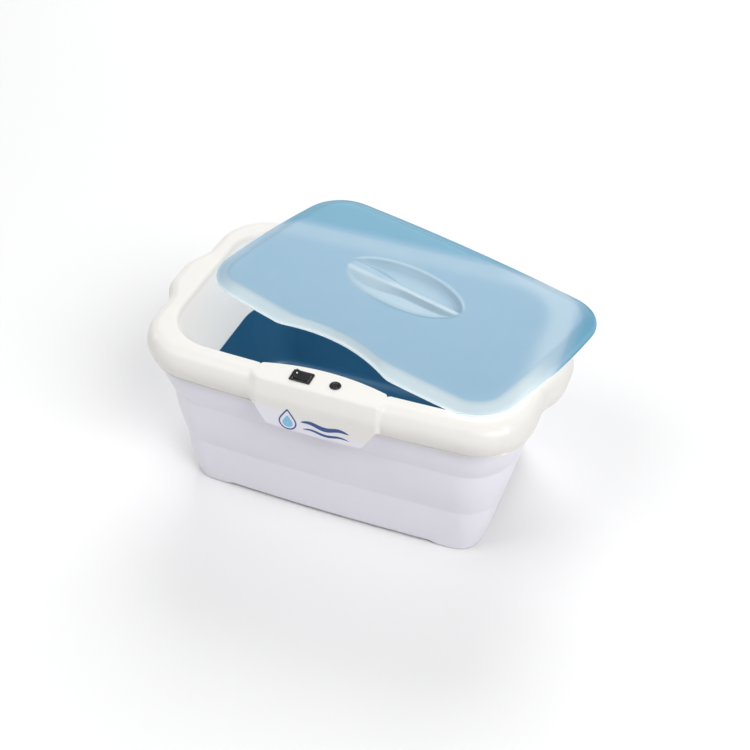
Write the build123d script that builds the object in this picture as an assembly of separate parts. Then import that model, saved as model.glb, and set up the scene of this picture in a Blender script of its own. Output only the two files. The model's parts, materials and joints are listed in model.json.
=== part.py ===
from build123d import *
import math
import os

# Paraffin warmer: an electrically heated tub with a tiered outer body, a rolled rim with two handle
# ears, a dark coated tank and a loose lid. Millimetres. X runs along the tub, -Y is the front with
# the controls, +Z is up. The origin is on the floor, under the middle of the tub.

# ---- driving dimensions ----------------------------------------------------------------------
WALL = 2.6                    # moulded wall of the outer body
RIM_WALL = 2.4                # moulded wall of the rim
LIP_Z = 0.8                   # lowest edge of the body, at its corners
BASE_EDGE_Z = 4.0             # bottom edge of the body between the corners
BODY_TOP_Z = 158.0            # top edge of the body, under the rim
RIM_BOTTOM_Z = 155.6
RIM_TOP_Z = 190.8
PANEL_Z = 191.8               # top of the control panel, just proud of the rim
SKIRT_END_Z = 110.0           # lower end of the rim's white inner wall
TANK_FLOOR_Z = 30.0           # inside floor of the tank
TANK_WALL = 1.5
GASKET = 1.5
TANK_TOP_Z = SKIRT_END_Z - GASKET
LID_EDGE_Z = 191.1            # underside of the lid's edge, which lies on the rim
LID_TOP_Z = 200.0
LID_WALL = 2.5
LID_CENTRE = (25.7, 38.4)     # where the loose lid lies
LID_TURN = -18.0              # degrees that the lid lies askew
EAR = 11.3                    # how far each handle ear stands out of the rim
EAR_HALF = 49.0               # half of an ear's width
EAR_FLAT = 12.0               # half of its straight middle
SWITCH_AT = (-19.1, -114.9)
LAMP_AT = (14.5, -115.0)
ROCKER_TILT = 10.0            # degrees from level at each end of the rocker's travel
WIRE_R = 1.1

# Plans: half length, half width, corner radius, bow of the long sides, bow of the short sides
BASE_PLAN = (157.7, 100.0, 30.0, 4.0, 1.0)
CREASE_2_PLAN = (169.1, 104.2, 34.0, 4.0, 1.0)
CREASE_1_PLAN = (180.9, 112.1, 50.0, 1.5, 1.0)
BODY_TOP_PLAN = (189.6, 121.2, 50.0, 5.0, 1.0)
RIM_EDGE_PLAN = (192.5, 124.9, 48.6, 7.2, 1.0)
OPENING_PLAN = (174.1, 107.1, 50.7, 4.6, 1.0)
TANK_TOP_PLAN = (157.5, 91.0, 45.0, 3.0, 1.0)
TANK_FOOT_PLAN = (147.0, 81.0, 38.0, 2.0, 1.0)
LID_PLAN = (181.5, 113.0, 36.0, 5.0, 4.0)

TIERS = [                     # (bottom height, its plan, top height, its plan) of each outer tier
    (LIP_Z, BASE_PLAN, 57.0, CREASE_2_PLAN),
    (57.0, CREASE_2_PLAN, 115.7, CREASE_1_PLAN),
    (115.7, CREASE_1_PLAN, BODY_TOP_Z, BODY_TOP_PLAN),
]
TIER_STEPS = (0.0, 0.22, 0.5, 1.0)


# ---- plan curves and stacks --------------------------------------------------------------------
def grown(plan, by):
    """The same plan, larger all round."""
    half_x, half_y, corner, bow_long, bow_short = plan
    return (half_x + by, half_y + by, corner + by, bow_long, bow_short)


def between(plan_a, plan_b, t):
    return tuple(a + (b - a) * t for a, b in zip(plan_a, plan_b))


def ear_side(half_x, ear, sign):
    """The edges of one short side with a handle ear, from -Y to +Y for sign +1."""
    def bulge(y):
        t = (abs(y) - EAR_FLAT) / (EAR_HALF - EAR_FLAT)
        return half_x + ear * 0.5 * (1 + math.cos(math.pi * min(max(t, 0.0), 1.0)))
    stations = [-EAR_HALF, -36.0, -24.0, -EAR_FLAT, 0.0, EAR_FLAT, 24.0, 36.0, EAR_HALF]
    points = [(sign * bulge(y), sign * y) for y in stations]
    return Spline(*points, tangents=[(0, sign), (0, sign)])


def outline(plan, z, ear=0.0):
    """Face of a round-cornered plan with bowed sides, and with handle ears if ear is given."""
    half_x, half_y, corner, bow_long, bow_short = plan
    end_x, end_y = half_x - bow_short, half_y - bow_long
    edges = []
    for sign in (1, -1):
        edges.append(ThreePointArc((-sign * end_x, -sign * end_y), (0, -sign * half_y),
                                   (sign * end_x, -sign * end_y)))
        if ear:
            edges.append(Line((sign * end_x, -sign * end_y), (sign * half_x, -sign * EAR_HALF)))
            edges.append(ear_side(half_x, ear, sign))
            edges.append(Line((sign * half_x, sign * EAR_HALF), (sign * end_x, sign * end_y)))
        else:
            edges.append(ThreePointArc((sign * end_x, -sign * end_y), (sign * half_x, 0),
                                       (sign * end_x, sign * end_y)))
    face = make_face(edges)
    corners = face.vertices().sort_by(lambda v: abs(v.X * v.Y))[-4:]
    return Pos(0, 0, z) * fillet(corners, corner)


def stack(levels, ear=0.0):
    """Solid through a list of (height, plan) levels."""
    return loft([outline(plan, z, ear) for z, plan in levels], ruled=True)


def tier_levels(inset, bottom_z, top_z):
    """Levels of the tiered body: each tier is upright at its top and curves in towards its foot."""
    levels = []
    for low_z, low, high_z, high in TIERS:
        for step in TIER_STEPS:
            z = low_z + (high_z - low_z) * step
            plan = between(low, high, 1 - (1 - step) ** 2)
            if not levels or z > levels[-1][0] + 0.1:
                levels.append((z, grown(plan, -inset)))
    levels[0] = (bottom_z, levels[0][1])
    levels[-1] = (top_z, levels[-1][1])
    return levels


def block(x0, x1, y0, y1, z0, z1):
    return Pos((x0 + x1) / 2, (y0 + y1) / 2, (z0 + z1) / 2) * Box(x1 - x0, y1 - y0, z1 - z0)


def post(x, y, z0, z1, radius):
    return Pos(x, y, (z0 + z1) / 2) * Cylinder(radius, z1 - z0)


def wire(points, radius=WIRE_R):
    """Round insulated wire along straight runs joined by arcs."""
    spots = [Vector(*p) for p in points]
    bends = []
    for before, here, after in zip(spots, spots[1:], spots[2:]):
        turn = math.radians((here - before).get_angle(after - here))
        shorter = min((here - before).length, (after - here).length)
        bends.append(min(0.45 * shorter / math.tan(turn / 2), 60.0))
    path = FilletPolyline(*points, radius=bends)
    profile = Plane(origin=path @ 0, z_dir=path % 0) * Circle(radius)
    return sweep(profile, path=path)


# ---- places that several pieces share -------------------------------------------------------------
RIM_BOSSES = [(sx * x, sy * y) for sx in (1, -1) for sy in (1, -1)
              for x, y in ((75.0, 111.0), (179.0, 62.0))]
TANK_SCREWS = [(sx * x, sy * y) for sx in (1, -1) for sy in (1, -1)
               for x, y in ((62.0, 97.8), (163.3, 30.0))]
BASE_SCREWS = [(sx * 144.2, sy * 81.7) for sx in (1, -1) for sy in (1, -1)]
FEET = {"front_left": (-126.0, -68.0), "front_right": (126.0, -68.0),
        "rear_left": (-126.0, 68.0), "rear_right": (126.0, 68.0)}
PAD_POSTS = [(x, y) for x in (-105.0, 0.0, 105.0) for y in (-45.0, 45.0)]
LEDGE_Z = 156.0               # underside of the inward ledge at the body's top
BOSS_R = 3.8
PILOT_R = 1.45                # moulded hole that a screw bites into
SHANK_R = 1.4
CLEAR_R = 1.8                 # clearance hole for the same screw
HEAD_R = 3.2
HEAD_H = 2.0
PLATE_Z = 6.5                 # top of the base plate
FLANGE_WIDTH = 12.0
PANEL_HALF = 62.0             # half width of the control panel
PANEL_CROWN_Y = -97.4         # how far the panel's arch reaches into the opening
APRON_LOW_HALF = 44.0
APRON_LOW_Z = 141.5
APRON_FACE_Y = -135.6
PAD_Z = (16.0, 26.0)          # insulation pad under the tank
PAD_HALF = (115.0, 55.0)
MAT_Z = (27.0, 28.5)          # heating mat, bonded to the tank
THERMOSTAT_X = -60.0
FUSE_X = (2.0, 20.0)
FUSE_Z = 24.6
BLOCK_X = (60.0, 76.0)        # terminal block
BLOCK_WAYS = {"lamp": 46.0, "neutral": 53.0, "live": 60.0, "earth": 67.0}
WIRE_Z = 11.0                 # height at which the wiring crosses the base
STUD_AT = (100.0, 66.0)       # earth stud under the tank
INLET_Z = 18.0                # height of the power inlet's middle
INLET_FACE_Y = 104.5          # flat seat of the inlet on the rear wall
INLET_BACK_Y = 80.0
INLET_PINS = ((-7.0, -2.0), (7.0, -2.0), (0.0, 2.5))
ROCKER_PIVOT_Z = PANEL_Z + 0.2
BEZEL_Z = PANEL_Z + 1.6       # top of the switch's frame


# ---- outer body ---------------------------------------------------------------------------------
def outer_body():
    inside = stack(tier_levels(WALL, 0, BODY_TOP_Z + 1))
    shell = stack(tier_levels(0, LIP_Z, BODY_TOP_Z)) - inside
    # Between its corners the bottom edge is raised, which leaves four corner lips
    shell -= block(-118, 118, -150, 150, -1, BASE_EDGE_Z)
    shell -= block(-200, 200, -60, 60, -1, BASE_EDGE_Z)
    # Inward ledge that carries the rim, open at the front for the wiring
    ledge = extrude(outline(grown(BODY_TOP_PLAN, -WALL / 2), LEDGE_Z), BODY_TOP_Z - LEDGE_Z)
    ledge -= extrude(outline(grown(BODY_TOP_PLAN, -13.5), LEDGE_Z - 1), 10)
    ledge -= block(-45, 45, -115.5, 0, LEDGE_Z - 1, BODY_TOP_Z + 1)
    shell += ledge
    for x, y in RIM_BOSSES:
        shell -= post(x, y, LEDGE_Z - 1, BODY_TOP_Z + 1, CLEAR_R)
    for x, y in BASE_SCREWS:
        shell += post(x, y, PLATE_Z, 20, 4.2)
        for out, radius in ((2.5, 2.6), (4.1, 1.8)):
            shell += post(x + math.copysign(out, x), y + math.copysign(out, y), PLATE_Z, 20, radius)
        shell -= post(x, y, PLATE_Z - 1, 18, PILOT_R)
    # Flat seat for the power inlet
    shell += block(-22, 22, 90, INLET_FACE_Y, 5, 33) - inside
    shell -= block(-13.8, 13.8, 80, 120, INLET_Z - 9.8, INLET_Z + 9.8)
    return shell


# ---- rim ------------------------------------------------------------------------------------------
def rim_levels(inset, bottom_z, top_z):
    rolled = [(0.0, 0.0), (5.0, 4.6), (16.4, 8.3), (25.4, 7.6), (31.4, 4.0), (35.2, -3.4)]
    levels = [(RIM_BOTTOM_Z + rise, grown(RIM_EDGE_PLAN, out - inset)) for rise, out in rolled]
    levels[0] = (bottom_z, levels[0][1])
    levels[-1] = (top_z, levels[-1][1])
    return levels


def opening_levels(outset, top_z):
    """The white inner wall, from its foot on the tank to the rounded lip at the top."""
    skirt_high = between(TANK_TOP_PLAN, OPENING_PLAN, 0.955)
    return [(SKIRT_END_Z, grown(TANK_TOP_PLAN, outset)), (187.2, grown(skirt_high, outset)),
            (189.8, grown(OPENING_PLAN, outset + 0.6)), (top_z, grown(OPENING_PLAN, outset + 3.8))]


def arch_region(inset, z0, z1):
    """The plan of the control panel's arch, which bulges into the opening, as a solid."""
    side_x, side_y, front_y = PANEL_HALF - inset, -106.4 - inset, -122
    edges = [ThreePointArc((-side_x, side_y), (0, PANEL_CROWN_Y - inset), (side_x, side_y)),
             Line((side_x, side_y), (side_x, front_y)),
             Line((side_x, front_y), (-side_x, front_y)),
             Line((-side_x, front_y), (-side_x, side_y))]
    return extrude(Pos(0, 0, z0) * make_face(edges), z1 - z0)


def apron(inset, back_y):
    """The panel's front apron: a tapering tab from the panel's top down over the body."""
    top_half, low_half = PANEL_HALF - inset, APRON_LOW_HALF - inset
    top_z, low_z = PANEL_Z - inset, APRON_LOW_Z + inset
    face_y = APRON_FACE_Y + inset
    front = Polyline((-top_half, top_z), (top_half, top_z), (top_half, 165), (low_half, low_z),
                     (-low_half, low_z), (-top_half, 165), close=True)
    slab = extrude(Plane.XZ.offset(90) * make_face(front), 60)
    side = Polyline((back_y, top_z), (-129.2 + inset, top_z), (face_y, 176), (face_y, low_z),
                    (back_y, low_z), close=True)
    return slab & extrude(Plane.YZ.offset(-100) * make_face(side), 200)


def rim():
    under_panel = PANEL_Z - RIM_WALL
    cavity = stack(rim_levels(RIM_WALL, RIM_BOTTOM_Z - 1, RIM_TOP_Z - RIM_WALL), EAR)
    cavity -= stack(opening_levels(RIM_WALL, RIM_TOP_Z + 6))
    shell = stack(rim_levels(0, RIM_BOTTOM_Z, RIM_TOP_Z), EAR) - cavity
    shell += stack(opening_levels(RIM_WALL, RIM_TOP_Z)[:2])
    shell += extrude(outline(grown(TANK_TOP_PLAN, FLANGE_WIDTH), SKIRT_END_Z), RIM_WALL)
    shell -= stack([(SKIRT_END_Z - 5, TANK_TOP_PLAN)] + opening_levels(0, RIM_TOP_Z + 0.2))
    # Control panel: arched into the opening, hollow below, with an apron down the front
    arch_hollow = arch_region(RIM_WALL, 141, under_panel)
    shell -= arch_hollow
    inner_half = PANEL_HALF - RIM_WALL
    shell -= block(-inner_half, inner_half, APRON_FACE_Y + RIM_WALL, -110, 150, under_panel)
    arch = arch_region(0, 140, PANEL_Z) - arch_region(RIM_WALL, 139, under_panel)
    arch -= block(-70, 70, -123, -104, 130, BODY_TOP_Z + 2)
    front = apron(0, -117) - apron(RIM_WALL, -100)
    front -= extrude(outline(grown(BODY_TOP_PLAN, 0.8), 130), BODY_TOP_Z + 1 - 130)
    shell += arch
    shell += front
    for x, y in RIM_BOSSES:
        shell += post(x, y, BODY_TOP_Z, RIM_TOP_Z - 1.5, BOSS_R)
        shell -= post(x, y, BODY_TOP_Z - 1, BODY_TOP_Z + 12, PILOT_R)
    for x, y in TANK_SCREWS:
        shell += post(x, y, SKIRT_END_Z + 1, SKIRT_END_Z + 10, 3.4)
        shell -= post(x, y, SKIRT_END_Z - 1, SKIRT_END_Z + 8.5, PILOT_R)
    x, y = SWITCH_AT
    shell -= block(x - 9.5, x + 9.5, y - 6.5, y + 6.5, 180, 200)
    shell -= post(*LAMP_AT, 180, 200, 4.1)
    return shell


# ---- tank and what heats it -------------------------------------------------------------------------
def tank_levels(outset, floor_z, top_z):
    """The tank's inner surface, or one outside it: a rounded foot and sloping walls."""
    levels = [(floor_z, grown(TANK_FOOT_PLAN, outset - 9.0))]
    for rise, out in ((1.2, -4.8), (4.4, -1.4), (10.0, 0.6)):
        levels.append((floor_z + rise, grown(TANK_FOOT_PLAN, outset + out)))
    levels.append((top_z, grown(TANK_TOP_PLAN, outset)))
    return levels


def tank():
    shell = stack(tank_levels(TANK_WALL, TANK_FLOOR_Z - TANK_WALL, TANK_TOP_Z))
    shell += extrude(outline(grown(TANK_TOP_PLAN, FLANGE_WIDTH), TANK_TOP_Z - TANK_WALL), TANK_WALL)
    inside = stack(tank_levels(0, TANK_FLOOR_Z, TANK_TOP_Z))
    shell -= inside
    for x, y in TANK_SCREWS:
        shell -= post(x, y, TANK_TOP_Z - 4, TANK_TOP_Z + 1, CLEAR_R)
    return shell


def tank_gasket():
    ring = extrude(outline(grown(TANK_TOP_PLAN, FLANGE_WIDTH - 1), TANK_TOP_Z), GASKET)
    ring -= extrude(outline(grown(TANK_TOP_PLAN, 0.4), TANK_TOP_Z - 1), GASKET + 2)
    for x, y in TANK_SCREWS:
        ring -= post(x, y, TANK_TOP_Z - 1, SKIRT_END_Z + 1, CLEAR_R)
    return ring


def slab(half_x, half_y, corner, z0, z1):
    return extrude(Pos(0, 0, z0) * RectangleRounded(2 * half_x, 2 * half_y, corner), z1 - z0)


def heater_mat():
    mat = slab(125, 62, 12, *MAT_Z)
    return mat - block(THERMOSTAT_X - 28, THERMOSTAT_X + 28, -14, 14, 20, 30)


def insulation_pad():
    pad = slab(*PAD_HALF, 8, *PAD_Z)
    pad -= block(THERMOSTAT_X - 30, THERMOSTAT_X + 30, -18, 18, 10, 30)
    return pad - block(-12, 38, -12, 12, 10, 30)


def insulation_band():
    """Glass-fibre blanket wrapped round the tank's walls."""
    gap, thick = TANK_WALL + 0.4, 5.5
    slope = TANK_TOP_Z - TANK_FLOOR_Z - 10
    low_z, high_z = 44.0, 100.0
    foot = grown(TANK_FOOT_PLAN, 0.6)
    low_plan = between(foot, TANK_TOP_PLAN, (low_z - TANK_FLOOR_Z - 10) / slope)
    high_plan = between(foot, TANK_TOP_PLAN, (high_z - TANK_FLOOR_Z - 10) / slope)
    outside = stack([(low_z, grown(low_plan, gap + thick)), (high_z, grown(high_plan, gap + thick))])
    inside = stack([(low_z - 1, grown(low_plan, gap)), (low_z, grown(low_plan, gap)),
                    (high_z, grown(high_plan, gap)), (high_z + 1, grown(high_plan, gap))])
    return outside - inside


def thermostat():
    disc = post(THERMOSTAT_X, 0, 20, TANK_FLOOR_Z - TANK_WALL, 8.5)
    for side in (1, -1):
        tab_y = side * 7
        disc += block(THERMOSTAT_X - 2.4, THERMOSTAT_X + 2.4, tab_y - 0.4, tab_y + 0.4, 13.5, 20.5)
    return disc


def thermostat_bracket():
    strap = block(THERMOSTAT_X - 26, THERMOSTAT_X + 26, -5, 5, 19.2, 20)
    for side in (1, -1):
        leg = THERMOSTAT_X + side * 25.6
        strap += block(leg - 0.4, leg + 0.4, -5, 5, 19.2, TANK_FLOOR_Z - TANK_WALL)
    return strap


def rod(x0, x1, y, z, radius):
    return Pos((x0 + x1) / 2, y, z) * Rot(0, 90, 0) * Cylinder(radius, x1 - x0)


def thermal_fuse():
    return rod(*FUSE_X, 0, FUSE_Z, 2.0) + rod(FUSE_X[0] - 5, FUSE_X[1] + 5, 0, FUSE_Z, 0.6)


def fuse_clip():
    clip = block(8, 14, -5, 5, FUSE_Z - 3, MAT_Z[0])
    return clip - rod(7, 15, 0, FUSE_Z, 2.05)


# ---- base -------------------------------------------------------------------------------------------
def base_plate():
    plan = grown(BASE_PLAN, -WALL - 0.4)
    plate = extrude(outline(plan, BASE_EDGE_Z), PLATE_Z - BASE_EDGE_Z)
    for x, y in BASE_SCREWS:
        plate -= post(x, y, 0, 10, CLEAR_R)
    for x, y in FEET.values():
        plate -= post(x, y, 0, 10, 3.05)
    for x, y in PAD_POSTS:
        plate += post(x, y, BASE_EDGE_Z, PAD_Z[0], 3.0)
    for slot in range(-4, 5):
        plate -= block(slot * 9 - 1.5, slot * 9 + 1.5, -26, 26, 0, 10)
    return plate


def foot(x, y):
    pad = Pos(x, y, 0) * extrude(Circle(10), BASE_EDGE_Z)
    pad = chamfer(pad.edges().group_by(Axis.Z)[0], 0.8)
    return pad + post(x, y, BASE_EDGE_Z, PLATE_Z, 3.0) + post(x, y, PLATE_Z, PLATE_Z + 2, 4.0)


# ---- control panel parts -------------------------------------------------------------------------------
def switch_housing():
    x, y = SWITCH_AT
    case = block(x - 10.5, x + 10.5, y - 7.5, y + 7.5, PANEL_Z, BEZEL_Z)
    case = chamfer(case.edges().group_by(Axis.Z)[-1], 0.5)
    case += block(x - 9.4, x + 9.4, y - 6.4, y + 6.4, 174, PANEL_Z)
    case -= block(x - 8.5, x + 8.5, y - 5.3, y + 5.3, 184, BEZEL_Z + 1)
    return case - Pos(x, y, ROCKER_PIVOT_Z) * Rot(90, 0, 0) * Cylinder(1.05, 11.8)


def switch_rocker():
    """Rocker with its right end pressed: a shallow valley on top, on a cross pin."""
    level = Polyline((-7.6, 3.9), (0, 2.4), (7.6, 3.9), (7.2, -2.2), (0, -4.6), (-7.2, -2.2),
                     close=True)
    paddle = extrude(Plane.XZ * make_face(level), 5.0, both=True)
    paddle += Rot(90, 0, 0) * Cylinder(1.0, 11.4)
    return Pos(*SWITCH_AT, ROCKER_PIVOT_Z) * Rot(0, ROCKER_TILT, 0) * paddle


def switch_terminals():
    x, y = SWITCH_AT
    return Compound([block(x + dx - 2.4, x + dx + 2.4, y - 0.4, y + 0.4, 165, 174)
                     for dx in (-6.5, 6.5)])


def lamp_bezel():
    ring = post(*LAMP_AT, PANEL_Z, PANEL_Z + 1.4, 5.5)
    ring = chamfer(ring.edges().group_by(Axis.Z)[-1], 0.6)
    ring += post(*LAMP_AT, 178, PANEL_Z, 4.0)
    ring -= post(*LAMP_AT, 186, 200, 3.5)
    return ring - post(*LAMP_AT, 177, 187, 2.6)


def lamp_lens():
    lens = post(*LAMP_AT, 186, PANEL_Z + 2.2, 3.45)
    return fillet(lens.edges().group_by(Axis.Z)[-1], 1.2)


def lamp_led():
    led = post(*LAMP_AT, 179, 185.8, 2.5)
    return led + post(LAMP_AT[0] + 1.3, LAMP_AT[1], 175, 179.5, 0.3) + post(
        LAMP_AT[0] - 1.3, LAMP_AT[1], 175, 179.5, 0.3)


# ---- power inlet and wiring ---------------------------------------------------------------------------
def inlet_slots(y0, y1):
    return [block(x - 1.0, x + 1.0, y0, y1, INLET_Z + z - 2, INLET_Z + z + 2) for x, z in INLET_PINS]


def power_inlet():
    case = block(-17, 17, INLET_FACE_Y, INLET_FACE_Y + 2.5, INLET_Z - 12, INLET_Z + 12)
    case += block(-13.6, 13.6, INLET_BACK_Y, INLET_FACE_Y, INLET_Z - 9.6, INLET_Z + 9.6)
    case -= block(-11.6, 11.6, INLET_BACK_Y + 6, INLET_FACE_Y + 5, INLET_Z - 7.8, INLET_Z + 7.8)
    for slot in inlet_slots(INLET_BACK_Y - 1, INLET_BACK_Y + 7):
        case -= slot
    return case


def inlet_pins():
    return Compound(inlet_slots(INLET_BACK_Y - 6, INLET_FACE_Y - 2))


def terminal_block():
    ways = list(BLOCK_WAYS.values())
    case = block(*BLOCK_X, ways[0] - 3.5, ways[-1] + 3.5, PLATE_Z, 15.5)
    middle = (BLOCK_X[0] + BLOCK_X[1]) / 2
    for y in ways:
        case -= post(middle - 4, y, 13, 16, 1.6) + post(middle + 4, y, 13, 16, 1.6)
    return case


def earth_stud():
    return post(*STUD_AT, 20, TANK_FLOOR_Z - TANK_WALL, 2.0)


def earth_nut():
    nut = extrude(Pos(*STUD_AT, 21.8) * RegularPolygon(4.0, 6), 3.2)
    return nut - post(*STUD_AT, 20, 26, 2.05)


def earth_tag():
    x, y = STUD_AT
    tag = post(x, y, 25, 25.8, 4.2) + block(x - 10, x - 3, y - 1.4, y + 1.4, 25, 25.8)
    return tag - post(x, y, 24, 27, 2.05)


def riser(x, top):
    """Points of a wire that climbs the front wall, between the tank's blanket and the body."""
    return [(x, -97.5, 42), (x, -98, 62), (x, -105.8, 108), (x, -111, 150), top]


def wires():
    left, right = BLOCK_X[0] - 0.4, BLOCK_X[1] + 0.4
    tail_y = INLET_BACK_Y - 6.1
    sx, sy = SWITCH_AT
    lamp_x, lamp_y = LAMP_AT
    ways = BLOCK_WAYS
    runs = {
        "wire_inlet_live": [(7, tail_y, 16), (7, 66, 16), (26, 60.5, 11.5),
                            (left, ways["live"], WIRE_Z)],
        "wire_inlet_neutral": [(-7, tail_y, 16), (-7, 61, 16), (24, 53.5, 11.2),
                               (left, ways["neutral"], WIRE_Z)],
        "wire_inlet_earth": [(0, tail_y, 20.5), (0, 69.5, 20.5), (26, 68.5, 16), (46, 67, 11.2),
                             (left, ways["earth"], WIRE_Z)],
        "wire_tank_earth": [(right, ways["earth"], WIRE_Z), (83, 66.9, 11.5), (85.2, 66.3, 24.5),
                            (STUD_AT[0] - 10.3, 66, 25.4)],
        "wire_switch_feed": [(right, ways["live"], WIRE_Z), (90, 58, 11.2), (97, 40, 11),
                             (98, -50, 11.2), (60, -86, 11), (0, -90, 12), (-22, -91.5, 19)]
                            + riser(-24, (sx - 6.5, sy, 164.8)),
        "wire_thermostat": riser(-12, (sx + 6.5, sy, 164.8))[::-1]
                           + [(-12, -92, 24), (-15, -82, 11.5), (-58, -30, 11.2),
                              (THERMOSTAT_X, -16, 14), (THERMOSTAT_X, -7.8, 16)],
        "wire_heater_feed": [(THERMOSTAT_X, 7.8, 16), (-61, 16, 13.5), (-92, 24, 11), (-118, 22, 13),
                             (-120, 20.5, 19.5), (-120, 20, MAT_Z[0] - 0.2)],
        "wire_heater_return": [(FUSE_X[1] + 5.3, 0, FUSE_Z), (31, 0.3, 23), (33, -1, 14.5),
                               (62, -11, 13.8), (104, -20.5, 13.6), (118.5, -20.8, 14.2),
                               (120, -20.4, 21), (120, -20, MAT_Z[0] - 0.2)],
        "wire_fuse_neutral": [(FUSE_X[0] - 5.3, 0, FUSE_Z), (-8, 0.3, 22.5), (-9, 3, 13), (14, 28, 11),
                              (44, 45, 11.2), (left, ways["lamp"], WIRE_Z)],
        "wire_lamp_neutral": [(right, ways["neutral"], WIRE_Z), (82, 51.5, 11), (87.5, 30, 11),
                              (83, -32, 11), (40, -77, 12), (20, -89.5, 20)]
                             + riser(17, (lamp_x + 1.3, lamp_y, 174.8)),
    }
    return {name: wire(points) for name, points in runs.items()}


# ---- fasteners -------------------------------------------------------------------------------------
def screws(places, seat_z, length):
    """Pan-head screws driven upwards: the heads lie under seat_z."""
    group = []
    for x, y in places:
        head = post(x, y, seat_z - HEAD_H, seat_z, HEAD_R)
        head = fillet(head.edges().group_by(Axis.Z)[0], 1.0)
        head -= block(x - 2, x + 2, y - 0.4, y + 0.4, seat_z - 3, seat_z - 1.2)
        head -= block(x - 0.4, x + 0.4, y - 2, y + 2, seat_z - 3, seat_z - 1.2)
        group.append(head + post(x, y, seat_z, seat_z + length, SHANK_R))
    return Compound(group)


# ---- lid --------------------------------------------------------------------------------------------
def notch_plug(levels):
    """What is cut from the lid's front edge so that it clears the panel's arch."""
    faces = []
    for z, side_y, crown_y in levels:
        edges = [ThreePointArc((-70, side_y), (0, crown_y), (70, side_y)),
                 Line((70, side_y), (70, -135)), Line((70, -135), (-70, -135)),
                 Line((-70, -135), (-70, side_y))]
        faces.append(Pos(0, 0, z) * make_face(edges))
    return loft(faces, ruled=True)


def oval_stack(levels):
    return loft([Pos(-4, 5, z) * Ellipse(half_x, half_y) for z, half_x, half_y in levels], ruled=True)


def ridge(low_half, top_half, low_z, top_z):
    """The upright rib between the two finger scoops."""
    section = Polyline((-low_half, low_z), (low_half, low_z), (top_half, top_z), (-top_half, top_z),
                       close=True)
    return Pos(0, 5, 0) * extrude(Plane.YZ.offset(-90) * make_face(section), 180)


def lid():
    plateau = (167.0, 99.0, 28.0, 5.0, 4.0)
    shoulder_z = LID_TOP_Z - 0.8
    outside = stack([(LID_EDGE_Z, LID_PLAN), (LID_EDGE_Z + 2.9, LID_PLAN),
                     (shoulder_z, grown(plateau, 1.6)), (LID_TOP_Z, grown(plateau, -1.2))])
    outside -= notch_plug([(LID_EDGE_Z - 1, -114.4, -98.8), (LID_EDGE_Z + 2.9, -114.4, -98.8),
                           (shoulder_z, -105.6, -92.6), (LID_TOP_Z + 0.1, -103.5, -90.5)])
    inside = stack([(LID_EDGE_Z - 1, grown(LID_PLAN, -LID_WALL)),
                    (LID_EDGE_Z + 1, grown(LID_PLAN, -LID_WALL)),
                    (shoulder_z - LID_WALL, grown(plateau, 0.6)),
                    (LID_TOP_Z - LID_WALL, grown(plateau, -2.0))])
    inside -= notch_plug([(LID_EDGE_Z - 2, -111.9, -96.3), (LID_EDGE_Z + 1, -111.9, -96.3),
                          (shoulder_z - LID_WALL, -104.0, -91.2), (LID_TOP_Z, -101.5, -88.5)])
    shell = outside - inside
    # Two finger scoops either side of an upright rib
    bowl_under = oval_stack([(186.6, 56, 21), (191.5, 68.5, 33.5), (LID_TOP_Z - 1, 74, 39)])
    shell += bowl_under - ridge(4.6, 0.6, 186, LID_TOP_Z - LID_WALL)
    bowl = oval_stack([(189.0, 54, 19), (193.5, 66, 31), (LID_TOP_Z + 0.1, 71, 36)])
    shell -= bowl - ridge(7.0, 2.0, 188, LID_TOP_Z + 1)
    return Pos(*LID_CENTRE, 0) * Rot(0, 0, LID_TURN) * shell


# ---- everything -------------------------------------------------------------------------------------
def pieces():
    made = {
        "outer_body": outer_body(), "rim": rim(), "base_plate": base_plate(), "lid": lid(),
        "tank": tank(), "tank_gasket": tank_gasket(), "heater_mat": heater_mat(),
        "insulation_pad": insulation_pad(), "insulation_band": insulation_band(),
        "thermostat": thermostat(), "thermostat_bracket": thermostat_bracket(),
        "thermal_fuse": thermal_fuse(), "fuse_clip": fuse_clip(),
        "switch_housing": switch_housing(), "switch_rocker": switch_rocker(),
        "switch_terminals": switch_terminals(),
        "lamp_bezel": lamp_bezel(), "lamp_lens": lamp_lens(), "lamp_led": lamp_led(),
        "power_inlet": power_inlet(), "inlet_pins": inlet_pins(), "terminal_block": terminal_block(),
        "earth_stud": earth_stud(), "earth_nut": earth_nut(), "earth_tag": earth_tag(),
        "rim_screws": screws(RIM_BOSSES, LEDGE_Z, 13),
        "tank_screws": screws(TANK_SCREWS, TANK_TOP_Z - TANK_WALL, 11),
        "base_screws": screws(BASE_SCREWS, BASE_EDGE_Z, 13),
    }
    for name, (x, y) in FEET.items():
        made[f"foot_{name}"] = foot(x, y)
    made.update(wires())
    return made


if __name__ == "__main__":
    os.makedirs("parts", exist_ok=True)
    for name, solid in pieces().items():
        print(name, len(solid.solids()), round(solid.volume))
        export_step(solid, f"parts/{name}.step")
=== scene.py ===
import json
import math

import bmesh
import bpy
import numpy as np
from mathutils import Matrix, Vector


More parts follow.
